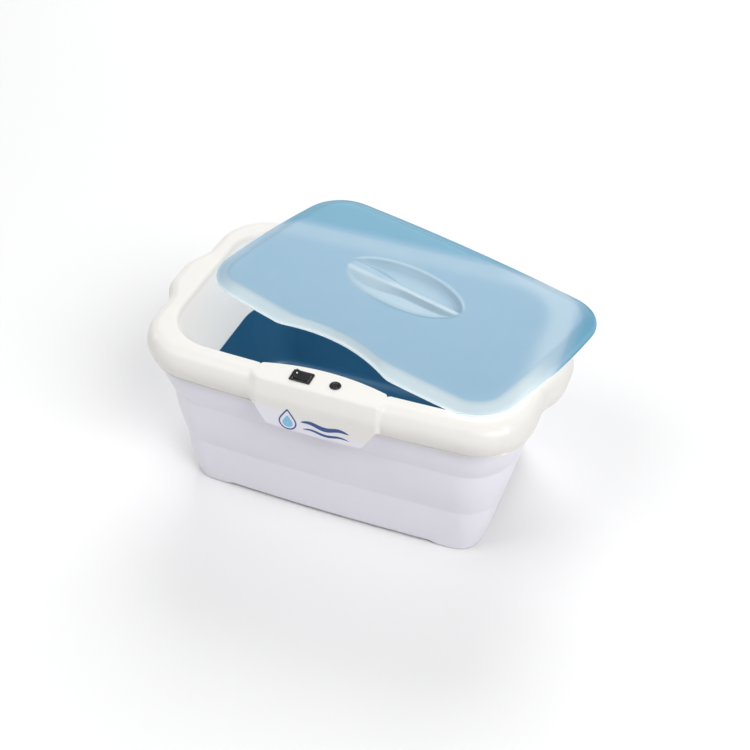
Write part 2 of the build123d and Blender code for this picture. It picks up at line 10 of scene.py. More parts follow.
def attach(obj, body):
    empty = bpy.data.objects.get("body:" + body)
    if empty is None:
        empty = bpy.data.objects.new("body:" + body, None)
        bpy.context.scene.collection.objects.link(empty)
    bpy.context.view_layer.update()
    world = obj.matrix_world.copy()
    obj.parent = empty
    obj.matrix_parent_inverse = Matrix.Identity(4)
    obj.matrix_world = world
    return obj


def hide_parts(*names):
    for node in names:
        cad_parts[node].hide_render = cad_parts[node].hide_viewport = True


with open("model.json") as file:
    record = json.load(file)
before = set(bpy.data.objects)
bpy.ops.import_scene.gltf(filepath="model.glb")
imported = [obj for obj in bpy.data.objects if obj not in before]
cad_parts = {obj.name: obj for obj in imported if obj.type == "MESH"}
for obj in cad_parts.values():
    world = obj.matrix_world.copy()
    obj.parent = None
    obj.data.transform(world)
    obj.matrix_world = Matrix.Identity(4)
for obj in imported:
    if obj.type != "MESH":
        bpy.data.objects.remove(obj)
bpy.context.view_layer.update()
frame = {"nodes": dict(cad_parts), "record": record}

MM = 0.001  # the shapes below are written in millimetres

# Plans: half length, half width, corner radius, bow of the long sides, bow of the short sides
BASE_PLAN = (157.7, 100.0, 24.0, 4.0, 1.0)
CREASE_2_PLAN = (169.1, 104.2, 34.0, 4.0, 1.0)
CREASE_1_PLAN = (180.9, 112.1, 50.0, 1.5, 1.0)
BODY_TOP_PLAN = (189.6, 121.2, 50.0, 5.0, 1.0)
RIM_EDGE_PLAN = (189.5, 124.9, 48.6, 7.2, 1.0)
OPENING_PLAN = (174.1, 107.1, 50.7, 4.6, 1.0)
TANK_TOP_PLAN = (157.5, 91.0, 45.0, 3.0, 1.0)
TANK_FOOT_PLAN = (147.0, 81.0, 38.0, 2.0, 1.0)
LID_PLAN = (183.3, 113.8, 46.0, 6.6, 7.0)
PLATEAU_PLAN = (167.0, 99.0, 28.0, 5.0, 4.0)

# Outer body
LIP_Z = 0.8
RAISED_Z = 4.0
LIP_HALF = (108, 54)  # where the corner lips begin along the long and the short sides
LIP_RUN = (12, 8)
LIP_FADE = 12
BODY_TOP_Z = 157.6
BODY_WALL = 2.6
TIERS = [
    (LIP_Z, BASE_PLAN, 57.0, CREASE_2_PLAN),
    (57.0, CREASE_2_PLAN, 115.7, CREASE_1_PLAN),
    (115.7, CREASE_1_PLAN, BODY_TOP_Z, BODY_TOP_PLAN),
]
INLET_Z = 18.0
SEAT_Z = 19.0
SEAT_IN_Y, SEAT_FACE_Y = 98.8, 104.5

# Rim, its panel and its ears
SKIRT_END_Z = 110.0
FLANGE_TOP_Z = 112.4
FLANGE = 12.0
WALL_TOP_Z = 186.4
RIM_BOTTOM_Z = 155.6
RIM_UNDER_Z = 188.4
RIM_TOP_Z = 190.8
RIM_WALL = 2.4
LIP_OUT = 4.6  # how far the rounded lip of the opening reaches out
ROLL_IN = -5.4  # where the rolled edge begins
PANEL_Z = 191.8
PANEL_HALF = 62.0
PANEL_EDGE_Y = -127.2
APRON_LOW_HALF = 48.0
APRON_SIDE_Z = 165.0
APRON_LOW_Z = 141.2
APRON_FACE_Y = -135.6
BEHIND_APRON_Y = -119.0
EAR = 12.5
EAR_HALF = 49.0
EAR_FLAT = 12.0

# Tank
TANK_FLOOR_Z = 30.0
TANK_TOP_Z = 108.5
TANK_WALL = 1.5

# Lid
LID_EDGE_Z = 191.1
LID_TOP_Z = 200.0
LID_WALL = 2.5
LID_CENTRE = (25.7, 38.4)
LID_TURN = math.radians(-18.0)

# Switch and lamp
SWITCH_AT = (-19.1, -114.9)
LAMP_AT = (14.5, -115.0)
PIVOT_Z = 192.0
ROCKER_TILT = math.radians(10.0)
ROCKER_HALF = 7.6

# Stations along a long side: fixed places within the control panel's reach, then shares of the rest
CORE_END = 75.0
HALF_CORE = np.concatenate([
    np.linspace(0, 38, 20)[1:], np.linspace(38, 50, 13)[1:], np.linspace(50, 60, 8)[1:],
    np.linspace(60, 67, 15)[1:], np.linspace(67, CORE_END, 5)[1:],
])
CORE = np.concatenate([-HALF_CORE[::-1], [0.0], HALF_CORE])
OUTER_SHARES = np.linspace(0, 1, 20)[1:-1]
FRONT_COUNT = len(CORE) + 2 * len(OUTER_SHARES)
CORNER_STEPS = 30
SIDE_STEPS = 72


# ---- curves and meshes ------------------------------------------------------------------------
def smoothstep(t):
    t = np.clip(t, 0, 1)
    return t * t * (3 - 2 * t)


def smooth_max(a, b, soft):
    share = np.clip(0.5 + 0.5 * (a - b) / soft, 0, 1)
    return b + (a - b) * share + soft * share * (1 - share)


def grown(plan, by):
    half_x, half_y, corner, bow_long, bow_short = plan
    return (half_x + by, half_y + by, corner + by, bow_long, bow_short)


def between(plan_a, plan_b, t):
    return tuple(a + (b - a) * t for a, b in zip(plan_a, plan_b))


def ear_bulge(y):
    share = np.clip((np.abs(y) - EAR_FLAT) / (EAR_HALF - EAR_FLAT), 0, 1)
    return 0.5 * (1 + np.cos(math.pi * share))


def ring(plan, ear=0.0):
    """Closed curve of a plan with bowed sides and tangent corner arcs, as rows of x, y.

    It runs along the front from the left, then round to the right. Its second half is the first
    one turned by half a turn."""
    half_x, half_y, radius, bow_long, bow_short = plan
    end_x, end_y = half_x - bow_short, half_y - bow_long
    touch_x, touch_y = end_x - radius, end_y - radius
    for _ in range(25):
        lean_long = 2 * bow_long * touch_x / end_x**2
        lean_short = 2 * bow_short * touch_y / end_y**2
        sag_long = bow_long * (touch_x / end_x) ** 2
        sag_short = bow_short * (touch_y / end_y) ** 2
        centre_x = half_x - sag_short - radius / math.hypot(1, lean_short)
        centre_y = half_y - sag_long - radius / math.hypot(1, lean_long)
        touch_x = centre_x + radius * lean_long / math.hypot(1, lean_long)
        touch_y = centre_y + radius * lean_short / math.hypot(1, lean_short)
    rest = CORE_END + (touch_x - CORE_END) * OUTER_SHARES
    x = np.concatenate([-rest[::-1], CORE, rest])
    front = np.column_stack([x, bow_long * (x / end_x) ** 2 - half_y])
    turn = np.linspace(math.atan(lean_long) - math.pi / 2, -math.atan(lean_short), CORNER_STEPS)
    arc = np.column_stack([np.cos(turn), np.sin(turn)]) * radius
    y = np.linspace(-touch_y, touch_y, SIDE_STEPS)[1:-1]
    side_x = half_x - bow_short * (y / end_y) ** 2 + ear * ear_bulge(y)
    half = np.concatenate([
        front, arc + [centre_x, -centre_y], np.column_stack([side_x, y]),
        np.column_stack([arc[::-1, 0], -arc[::-1, 1]]) + [centre_x, centre_y],
    ])
    return np.concatenate([half, -half])


def key(z, plan, ear=0.0):
    """One row of a surface: its height, its plan and how far the ears stand out."""
    return [z, *plan, ear]


def lerp_rows(low, high, count):
    """count rows from low up to, but without, high."""
    low, high = np.array(low, float), np.array(high, float)
    return [low + (high - low) * i / count for i in range(count)]


def smooth_rows(keys, step):
    """Rows on a smooth curve through the keys, about step apart, without the last key."""
    keys = np.array(keys, float)
    spans = np.hypot(np.diff(keys[:, 0]), np.diff(keys[:, 2]))
    along = np.concatenate([[0.0], np.cumsum(spans)])
    slopes = np.gradient(keys, along, axis=0)
    rows = []
    for i, span in enumerate(spans):
        count = max(2, round(span / step))
        for t in np.arange(count) / count:
            rows.append(
                (2 * t**3 - 3 * t**2 + 1) * keys[i] + (t**3 - 2 * t**2 + t) * span * slopes[i]
                + (3 * t**2 - 2 * t**3) * keys[i + 1] + (t**3 - t**2) * span * slopes[i + 1]
            )
    return rows


def row_points(row):
    """A row's ring as rows of x, y, z."""
    flat = ring(tuple(row[1:6]), row[6])
    return np.column_stack([flat, np.full(len(flat), row[0])])


def box_ring(half_x, half_y, radius, z, steps=7):
    """Rectangle with rounded corners, as rows of x, y, z."""
    turn = np.linspace(0, math.pi / 2, steps)
    points = []
    for quarter, (sx, sy) in enumerate([(1, 1), (-1, 1), (-1, -1), (1, -1)]):
        for a in turn + quarter * math.pi / 2:
            points.append((sx * (half_x - radius) + radius * math.cos(a),
                           sy * (half_y - radius) + radius * math.sin(a), z))
    return np.array(points)


def upright(line, y):
    """Points x, z set upright at the depth y."""
    return np.column_stack([line[:, 0], np.full(len(line), y), line[:, 1]])


def mesh_of(name, verts, faces, sharp=None):
    mesh = bpy.data.meshes.new(name)
    mesh.from_pydata([tuple(v) for v in np.asarray(verts, float) * MM], [], faces)
    work = bmesh.new()
    work.from_mesh(mesh)
    bmesh.ops.recalc_face_normals(work, faces=work.faces)
    work.to_mesh(mesh)
    work.free()
    mesh.shade_smooth()
    if sharp is not None:
        mesh.set_sharp_from_angle(angle=math.radians(sharp))
    mesh.update()
    return mesh


def loft(name, rings, round_trip=False, caps=False, sharp=None):
    """Surface through rings that all have the same number of points."""
    count, rows = len(rings[0]), len(rings)
    faces = []
    for i in range(rows if round_trip else rows - 1):
        a, b = i * count, (i + 1) % rows * count
        faces += [(a + j, a + (j + 1) % count, b + (j + 1) % count, b + j) for j in range(count)]
    if caps:
        faces.append(tuple(range(count)))
        faces.append(tuple(range((rows - 1) * count, rows * count)))
    return mesh_of(name, np.concatenate(rings), faces, sharp)


def piece(name, mesh, body, finish, replaces=()):
    obj = bpy.data.objects.new(name, mesh)
    bpy.context.scene.collection.objects.link(obj)
    obj.data.materials.append(finish)
    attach(obj, body)
    if replaces:
        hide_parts(*replaces)
    return obj


# ---- materials --------------------------------------------------------------------------------
def material(name, colour, shade, rough, cloud=35.0, grain=1100.0, bump=0.05, depth=0.0002,
             stretch=(1, 1, 1), **sockets):
    """Moulded, painted or rubbed surface: clouded colour, uneven gloss and a fine grain."""
    made = bpy.data.materials.new(name)
    made.use_nodes = True
    nodes, links = made.node_tree.nodes, made.node_tree.links
    shader = nodes["Principled BSDF"]
    place = nodes.new("ShaderNodeTexCoord")
    scaled = nodes.new("ShaderNodeMapping")
    scaled.inputs["Scale"].default_value = stretch
    links.new(place.outputs["Object"], scaled.inputs["Vector"])

    clouds = nodes.new("ShaderNodeTexNoise")
    clouds.inputs["Scale"].default_value = cloud
    clouds.inputs["Detail"].default_value = 4.0
    ramp = nodes.new("ShaderNodeValToRGB")
    first, second = ramp.color_ramp.elements
    first.position, second.position = 0.3, 0.7
    first.color, second.color = (*colour, 1), (*shade, 1)
    links.new(scaled.outputs["Vector"], clouds.inputs["Vector"])
    links.new(clouds.outputs["Fac"], ramp.inputs["Fac"])
    links.new(ramp.outputs["Color"], shader.inputs["Base Color"])

    fine = nodes.new("ShaderNodeTexNoise")
    fine.inputs["Scale"].default_value = grain
    fine.inputs["Detail"].default_value = 3.0
    links.new(scaled.outputs["Vector"], fine.inputs["Vector"])
    gloss = nodes.new("ShaderNodeMapRange")
    gloss.inputs["To Min"].default_value, gloss.inputs["To Max"].default_value = rough
    links.new(clouds.outputs["Fac"], gloss.inputs["Value"])
    links.new(gloss.outputs["Result"], shader.inputs["Roughness"])
    relief = nodes.new("ShaderNodeBump")
    relief.inputs["Strength"].default_value = bump
    relief.inputs["Distance"].default_value = depth
    links.new(fine.outputs["Fac"], relief.inputs["Height"])
    links.new(relief.outputs["Normal"], shader.inputs["Normal"])
    for socket, value in sockets.items():
        shader.inputs[socket.replace("_", " ")].default_value = value
    return made


def math_node(tree, operation, *values):
    """Output of a Math node. Each value is a number, or a socket to link."""
    node = tree.nodes.new("ShaderNodeMath")
    node.operation = operation
    for slot, value in zip(node.inputs, values):
        if isinstance(value, (int, float)):
            slot.default_value = value
        else:
            tree.links.new(value, slot)
    return node.outputs[0]


def falling(tree, value, full, none, curve="LINEAR"):
    """1 where the value is up to full, falling to 0 where it is none."""
    fall = tree.nodes.new("ShaderNodeMapRange")
    fall.interpolation_type = curve
    fall.inputs["From Min"].default_value, fall.inputs["From Max"].default_value = full, none
    fall.inputs["To Min"].default_value, fall.inputs["To Max"].default_value = 1.0, 0.0
    tree.links.new(value, fall.inputs["Value"])
    return fall.outputs["Result"]


def place_axes(tree):
    """The x, y and z of the point on the surface, in metres."""
    place = tree.nodes.new("ShaderNodeTexCoord")
    split = tree.nodes.new("ShaderNodeSeparateXYZ")
    tree.links.new(place.outputs["Object"], split.inputs["Vector"])
    return split.outputs["X"], split.outputs["Y"], split.outputs["Z"]


def mix_in(made, colour, factors):
    """Mixes a colour into the material by the product of the factors."""
    tree = made.node_tree
    base = tree.nodes["Principled BSDF"].inputs["Base Color"]
    under = base.links[0].from_socket
    share = factors[0]
    for factor in factors[1:]:
        share = math_node(tree, "MULTIPLY", share, factor)
    mix = tree.nodes.new("ShaderNodeMix")
    mix.data_type = "RGBA"
    tree.links.new(share, mix.inputs["Factor"])
    tree.links.new(under, mix.inputs["A"])
    mix.inputs["B"].default_value = (*colour, 1)
    tree.links.new(mix.outputs["Result"], base)


BODY_COLOUR = (0.680, 0.668, 0.728)
# Painted light: the inner wall's lighter colour stands in for the light that falls into the tub.
INNER_WALL_LIT_COLOUR = (0.90, 0.875, 0.84)
FINISH = {
    "body_plastic": material("body_plastic", BODY_COLOUR, (0.675, 0.663, 0.723), (0.38, 0.46)),
    "rim_plastic": material(
        "rim_plastic", (0.675, 0.66, 0.63), (0.665, 0.65, 0.62), (0.34, 0.44)),
    "lid_plastic": material(
        "lid_plastic", (0.43, 0.66, 0.81), (0.42, 0.65, 0.80), (0.34, 0.42), bump=0.12,
        Transmission_Weight=0.3, IOR=1.4),
    "tank_coating": material(
        "tank_coating", (0.021, 0.105, 0.205), (0.019, 0.097, 0.190), (0.28, 0.40),
        grain=2600.0, bump=0.25, Coat_Weight=0.3, Coat_Roughness=0.25),
    "gasket_silicone": material(
        "gasket_silicone", (0.78, 0.78, 0.76), (0.72, 0.72, 0.70), (0.55, 0.7), bump=0.1),
    "heater_silicone": material(
        "heater_silicone", (0.50, 0.06, 0.02), (0.44, 0.05, 0.02), (0.6, 0.75), grain=1500.0,
        bump=0.4),
    "glass_fibre": material(
        "glass_fibre", (0.84, 0.78, 0.60), (0.74, 0.67, 0.48), (0.85, 1.0), cloud=120.0,
        grain=700.0, bump=1.0, depth=0.001, stretch=(1, 3, 1)),
    "phenolic": material(
        "phenolic", (0.05, 0.03, 0.02), (0.03, 0.02, 0.015), (0.45, 0.6), cloud=200.0,
        bump=0.2),
    "plated_steel": material(
        "plated_steel", (0.72, 0.72, 0.70), (0.60, 0.61, 0.60), (0.22, 0.38), cloud=150.0,
        bump=0.15, stretch=(1, 1, 6), Metallic=1.0),
    "brass": material(
        "brass", (0.72, 0.52, 0.22), (0.62, 0.44, 0.18), (0.25, 0.4), cloud=150.0, bump=0.15,
        Metallic=1.0),
    "black_plastic": material(
        "black_plastic", (0.012, 0.012, 0.014), (0.018, 0.018, 0.020), (0.28, 0.40),
        cloud=90.0, grain=2200.0, bump=0.12),
    "lamp_lens": material(
        "lamp_lens", (0.020, 0.006, 0.007), (0.014, 0.005, 0.006), (0.08, 0.16), cloud=200.0,
        bump=0.03, Transmission_Weight=0.3, Coat_Weight=0.5),
    "foot_rubber": material(
        "foot_rubber", (0.035, 0.035, 0.037), (0.050, 0.050, 0.052), (0.7, 0.85), cloud=120.0,
        bump=0.3),
    "wire_black": material(
        "wire_black", (0.012, 0.012, 0.012), (0.020, 0.020, 0.020), (0.4, 0.55), bump=0.1),
    "wire_white": material(
        "wire_white", (0.78, 0.78, 0.75), (0.70, 0.70, 0.67), (0.4, 0.55), bump=0.1),
    "wire_green": material(
        "wire_green", (0.02, 0.22, 0.05), (0.03, 0.28, 0.06), (0.4, 0.55), bump=0.1),
}
INK_ROUGH = (0.35, 0.45)
INK_NAVY = material("ink_navy", (0.020, 0.065, 0.235), (0.018, 0.055, 0.200), INK_ROUGH)
INK_BLUE = material("ink_blue", (0.20, 0.46, 0.66), (0.17, 0.42, 0.62), INK_ROUGH)
# White of the dot on the rocker.
WHITE_DOT_FINISH = material("dot_white", (0.85, 0.85, 0.84), (0.78, 0.78, 0.77), INK_ROUGH)


def fade_apron(made):
    """Lets the apron's colour run from the rim's cream to the body's lavender grey at its foot."""
    tree = made.node_tree
    x, y, z = place_axes(tree)
    tilted = math_node(tree, "MULTIPLY_ADD", x, 0.15, z)
    mix_in(made, BODY_COLOUR, [
        falling(tree, math_node(tree, "ABSOLUTE", x), 0.0620, 0.0660, "SMOOTHSTEP"),
        falling(tree, tilted, 0.149, 0.163, "SMOOTHSTEP"),
        falling(tree, y, -0.118, -0.116),
    ])


def paint_light_inside(made):
    """Paints light on the inner wall: a lighter colour than the outside's, standing in for the
    light that falls into the tub.
    """
    tree = made.node_tree
    reaches = [(0.176, 0.180), (0.108, 0.112), (0.184, 0.190)]
    mix_in(made, INNER_WALL_LIT_COLOUR, [
        falling(tree, math_node(tree, "ABSOLUTE", axis), full, none)
        for axis, (full, none) in zip(place_axes(tree), reaches)
    ])


TONE_SPAN = 1.4
LID_COLOURS_WITH_PAINTED_LIGHT = [  # painted light tone, colour: from the painted shade of the lid's free edge and rear band, through the lid's own blue, to the painted light where the white rim is painted as shining through and the painted highlight on the edges
    (0.0, (0.085, 0.22, 0.31)), (0.14, (0.125, 0.31, 0.42)), (0.5, (0.230, 0.370, 0.475)),
    (0.95, (0.595, 0.655, 0.665)), (1.3, (0.80, 0.86, 0.88)),
]


def colour_lid_with_painted_light(made):
    """Colours the frosted lid by its mesh's painted light tone values, slightly clouded: painted
    shade, the lid's own blue, painted light and painted highlights.
    """
    tree = made.node_tree
    clouds = next(node for node in tree.nodes if node.bl_idname == "ShaderNodeTexNoise")
    painted_light_tone = tree.nodes.new("ShaderNodeAttribute")
    painted_light_tone.attribute_name = "painted_light_tone"
    sway = math_node(tree, "MULTIPLY_ADD", clouds.outputs["Fac"], 0.05, -0.025)
    clouded = math_node(tree, "ADD", painted_light_tone.outputs["Fac"], sway)
    ramp = tree.nodes.new("ShaderNodeValToRGB")
    stops = ramp.color_ramp.elements
    for _ in range(len(LID_COLOURS_WITH_PAINTED_LIGHT) - 2):
        stops.new(0.5)
    for stop, (at, colour) in zip(stops, LID_COLOURS_WITH_PAINTED_LIGHT):
        stop.position, stop.color = at / TONE_SPAN, (*colour, 1)
    tree.links.new(math_node(tree, "DIVIDE", clouded, TONE_SPAN), ramp.inputs["Fac"])
    tree.links.new(ramp.outputs["Color"], tree.nodes["Principled BSDF"].inputs["Base Color"])


fade_apron(FINISH["rim_plastic"])
paint_light_inside(FINISH["rim_plastic"])
colour_lid_with_painted_light(FINISH["lid_plastic"])

for part in frame["record"]["subparts"]:
    node = frame["nodes"][part["node"]]
    node.data.materials.clear()
    node.data.materials.append(FINISH[part["material_slot"]])


# ---- outer body -------------------------------------------------------------------------------
def body_rows(inset, step):
    """Rows from the foot to the top, one bulging tier after the other."""
    rows = []
    for low_z, low, high_z, high in TIERS:
        count = round((high_z - low_z) / step)
        for i in range(count):
            t = i / count
            plan = between(low, high, 1 - (1 - t) ** 2)
            rows.append(key(low_z + (high_z - low_z) * t, grown(plan, -inset)))
    rows.append(key(BODY_TOP_Z, grown(BODY_TOP_PLAN, -inset)))
    return rows


def raise_bottom(points):
    """Lifts the bottom edge between the corners, which leaves four corner lips."""
    x, y, z = points.T
    along_x = 1 - smoothstep((np.abs(x) - LIP_HALF[0]) / LIP_RUN[0])
    along_y = 1 - smoothstep((np.abs(y) - LIP_HALF[1]) / LIP_RUN[1])
    lift = (RAISED_Z - LIP_Z) * np.maximum(along_x, along_y)
    points[:, 2] = z + lift * np.clip(1 - (z - LIP_Z) / LIP_FADE, 0, 1)
    return points


def make_body():
    edge = [
        key(LIP_Z + 0.9, BASE_PLAN), key(LIP_Z + 0.3, grown(BASE_PLAN, -0.3)),
        key(LIP_Z, grown(BASE_PLAN, -1.0)), key(LIP_Z, grown(BASE_PLAN, -1.8)),
        key(LIP_Z + 0.5, grown(BASE_PLAN, -BODY_WALL)),
    ]
    outside = body_rows(0, 2.0)[1:][::-1]
    inside = body_rows(BODY_WALL, 6.0)[1:]
    rings = [raise_bottom(row_points(row)) for row in outside + edge + inside]
    return loft("body_shell", rings, round_trip=True)


def open_inlet(mesh):
    """Opens the rear wall round the power inlet and closes the wall's edge."""
    work = bmesh.new()
    work.from_mesh(mesh)
    cut = []
    for face in work.faces:
        x, y, z = face.calc_center_median() / MM
        if y > 90 and abs(x) < 16 and abs(z - INLET_Z) < 12:
            cut.append(face)
    bmesh.ops.delete(work, geom=cut, context="FACES")
    bmesh.ops.bridge_loops(work, edges=[edge for edge in work.edges if edge.is_boundary])
    bmesh.ops.recalc_face_normals(work, faces=work.faces)
    work.to_mesh(mesh)
    work.free()
    return mesh


def make_inlet_seat():
    """Flat seat of the power inlet, which stands out of the sloping rear wall."""
    rings = []
    for half_x, half_z, middle_z, y in [
        (22, 14, SEAT_Z, SEAT_IN_Y), (22, 14, SEAT_Z, SEAT_FACE_Y - 0.5),
        (21.6, 13.6, SEAT_Z, SEAT_FACE_Y), (13.9, 9.9, INLET_Z, SEAT_FACE_Y),
        (13.9, 9.9, INLET_Z, SEAT_IN_Y),
    ]:
        flat = box_ring(half_x, half_z, 1.5, 0)
        rings.append(upright(flat[:, :2] + [0, middle_z], y))
    return loft("inlet_seat", rings, round_trip=True, sharp=50)


piece("body_shell", open_inlet(make_body()), "tub", FINISH["body_plastic"],
      ["outer_body"])
piece("inlet_seat", make_inlet_seat(), "tub", FINISH["body_plastic"])


# ---- rim with its control panel ---------------------------------------------------------------
ROLL = [  # height and distance out from the rim's edge plan, from the top down
    (RIM_TOP_Z, ROLL_IN), (190.5, -3.2), (189.6, -0.8), (187.6, 2.9), (184.5, 5.7),
    (181.0, 7.5), (176.0, 8.5), (171.0, 8.3), (APRON_SIDE_Z, 6.8),
]
ROLL_FOOT = [(APRON_SIDE_Z, 6.8), (160.6, 4.8), (158.6, 3.6)]
ROLL_LIP = [(158.2, 2.7), (157.8, 2.6), (157.5, 3.1), (156.9, 3.2), (156.2, 3.0), (155.8, 2.4)]
ROLL_UNDER = [(155.5, 1.2), (RIM_BOTTOM_Z, -1.6), (RIM_BOTTOM_Z, -2.4)]
ROLL_HOLLOW = [(160.6, 2.2), (172.0, 5.9), (181.0, 5.1), (WALL_TOP_Z, 1.4), (RIM_UNDER_Z, ROLL_IN)]
SKIRT_HIGH_PLAN = between(TANK_TOP_PLAN, OPENING_PLAN, 0.945)
LIP_LEAN = 0.45  # how far the panel's lip reaches out, as a share of the plain lip's reach
PANEL_FACE = np.array([  # y and z down the panel's rounded front edge
    (PANEL_EDGE_Y, PANEL_Z), (-128.7, 191.55), (-129.8, 190.8), (-130.7, 189.4), (-132.5, 185.1),
    (-134.3, 180.2), (-135.2, 176.9), (APRON_FACE_Y, 173.6),
])
PANEL_FACE_SHARE = 0.6  # share of the roll's rows that the rounded edge takes, the rest is apron
PANEL_END_SOFT = 0.6  # softness of the panel's right end, where the left end's is 1
APRON_TURN = [(0.0, 1.3), (0.15, 0.7), (0.55, 0.2), (1.2, 0.0)]  # rounding: steps in, steps up
APRON_BACK_SHARE = 0.8  # share of the hidden rows that closes the apron's foot


def arch_y(x):
    """The panel's inner edge, an arch that reaches into the opening."""
    beyond = np.maximum(np.abs(x) - PANEL_HALF, 0)
    inner = np.minimum(np.abs(x), PANEL_HALF)
    return -97.4 - 9.0 * (inner / PANEL_HALF) ** 2 - 2.5 * beyond


def apron_end_z(x):
    """Lower edge of the apron: nearly level in the middle, slanting up at both sides."""
    level = APRON_LOW_Z - 0.6 + 0.8 * (x / APRON_LOW_HALF) ** 2
    slant = (APRON_SIDE_Z - APRON_LOW_Z) / (PANEL_HALF - APRON_LOW_HALF)
    side = APRON_LOW_Z + (np.abs(x) - APRON_LOW_HALF) * slant
    return np.minimum(smooth_max(level, side, 3.0), APRON_SIDE_Z)


def rim_face_y(x, z):
    """How far the plain rolled rim stands out at the front."""
    half_x, half_y, _, bow_long, bow_short = RIM_EDGE_PLAN
    heights, outs = zip(*(ROLL + ROLL_FOOT[1:] + ROLL_LIP)[::-1])
    edge = half_y - bow_long * (x / (half_x - bow_short)) ** 2
    return -(edge + np.interp(z, heights, outs))


def panel_share(points, soft_left=0.0, soft_right=0.0):
    """1 on the control panel's stretch of the front, 0 away from it. Either end can be softer."""
    share = np.zeros(len(points))
    x = points[:FRONT_COUNT, 0]
    soft = np.where(x < 0, soft_left, soft_right)
    beyond = np.abs(x) - 61.0 + 4.0 * soft
    share[:FRONT_COUNT] = 1 - smoothstep(beyond / (5.0 + 9.0 * soft))
    return share


def mixed(points, y, z, share):
    points[:, 1] += (y - points[:, 1]) * share
    points[:, 2] += (z - points[:, 2]) * share
    return points


def rim_row(z, out):
    return key(z, grown(RIM_EDGE_PLAN, out), EAR)


def keep_arch(points, edge_y, soft):
    """Brings the front stretch of the opening in to the panel's arch."""
    front = points[:FRONT_COUNT]
    front[:, 1] = smooth_max(front[:, 1], edge_y[:FRONT_COUNT], soft)


def inner_wall_rings():
    rings = []
    low, high = key(SKIRT_END_Z, TANK_TOP_PLAN), key(WALL_TOP_Z, SKIRT_HIGH_PLAN)
    for row in lerp_rows(low, high, 36):
        points = row_points(row)
        keep_arch(points, arch_y(points[:, 0]), 1.2)
        rings.append(points)
    return rings


def lip_rings():
    """The opening's rounded edge."""
    rows = smooth_rows([
        key(WALL_TOP_Z, SKIRT_HIGH_PLAN), key(188.3, grown(OPENING_PLAN, -0.3)),
        key(189.6, grown(OPENING_PLAN, 0.6)), key(190.35, grown(OPENING_PLAN, 1.7)),
        key(190.7, grown(OPENING_PLAN, 3.0)), key(RIM_TOP_Z, grown(OPENING_PLAN, LIP_OUT)),
    ], 0.6)
    rings = []
    for row in rows:
        points = row_points(row)
        rise = (row[0] - WALL_TOP_Z) / (RIM_TOP_Z - WALL_TOP_Z)
        z = WALL_TOP_Z + (PANEL_Z - WALL_TOP_Z) * rise
        y = arch_y(points[:, 0]) - LIP_LEAN * (row[2] - SKIRT_HIGH_PLAN[1])
        share = panel_share(points)
        keep_arch(points, y, 0.8)
        rings.append(mixed(points, y, z, share))
    return rings


def top_rings(count=8):
    """The rim's flat top and the panel's top face."""
    top_in, top_out = grown(OPENING_PLAN, LIP_OUT), grown(RIM_EDGE_PLAN, ROLL_IN)
    lip_in = LIP_LEAN * (top_in[1] - SKIRT_HIGH_PLAN[1])
    rings = []
    for t in np.arange(count) / count:
        points = row_points(key(RIM_TOP_Z, between(top_in, top_out, t), EAR * smoothstep(t)))
        inner_y = arch_y(points[:, 0]) - lip_in
        y = inner_y + (PANEL_EDGE_Y - inner_y) * t
        rings.append(mixed(points, y, PANEL_Z, panel_share(points, t, PANEL_END_SOFT * t)))
    return rings


def face_rings():
    """The rolled edge, the panel's rounded front edge and the apron's face."""
    rows = smooth_rows([rim_row(z, out) for z, out in ROLL], 1.5)
    low_z = PANEL_FACE[-1, 1]
    rings = []
    for i, row in enumerate(rows):
        points = row_points(row)
        share = i / len(rows)
        if share < PANEL_FACE_SHARE:
            at = share / PANEL_FACE_SHARE * (len(PANEL_FACE) - 1)
            y, z = (np.interp(at, range(len(PANEL_FACE)), column) for column in PANEL_FACE.T)
        else:
            down = (share - PANEL_FACE_SHARE) / (1 - PANEL_FACE_SHARE)
            y = APRON_FACE_Y
            z = low_z + (apron_end_z(points[:, 0]) + APRON_TURN[0][1] - low_z) * down
        soft_right = PANEL_END_SOFT * max(1 - share / PANEL_FACE_SHARE, 0)
        rings.append(mixed(points, y, z, panel_share(points, 1.0, soft_right)))
    return rings


def foot_rings():
    """The rim's foot with its lip, and behind the apron's lower edge the closed way back."""
    rows = smooth_rows([rim_row(z, out) for z, out in ROLL_FOOT], 1.2)
    rows += [rim_row(z, out) for z, out in ROLL_LIP + ROLL_UNDER]
    rings = []
    for i, row in enumerate(rows):
        points = row_points(row)
        x = points[:, 0]
        end_z = apron_end_z(x)
        if i < len(APRON_TURN):
            y, z = APRON_FACE_Y + APRON_TURN[i][0], end_z + APRON_TURN[i][1]
        else:
            share = (i - len(APRON_TURN)) / (len(rows) - len(APRON_TURN) - 1)
            up = min(share / APRON_BACK_SHARE, 1)
            z = end_z + (np.minimum(end_z, RIM_BOTTOM_Z) - end_z) * up
            y = np.where(end_z > RIM_BOTTOM_Z, rim_face_y(x, z), BEHIND_APRON_Y)
            back = max(share - APRON_BACK_SHARE, 0) / (1 - APRON_BACK_SHARE)
            y = y + (BEHIND_APRON_Y - y) * back
        rings.append(mixed(points, y, z, panel_share(points)))
    return rings


def hidden_rings():
    """The rim's hollow underside and the back of the inner wall, down to its flange."""
    rows = [rim_row(z, out) for z, out in ROLL_HOLLOW]
    rows += [
        key(RIM_UNDER_Z, grown(OPENING_PLAN, 6.0)), key(185.0, grown(SKIRT_HIGH_PLAN, RIM_WALL)),
        key(FLANGE_TOP_Z, grown(TANK_TOP_PLAN, RIM_WALL)),
        key(FLANGE_TOP_Z, grown(TANK_TOP_PLAN, FLANGE)),
        key(SKIRT_END_Z, grown(TANK_TOP_PLAN, FLANGE)),
    ]
    return [row_points(row) for row in rows]


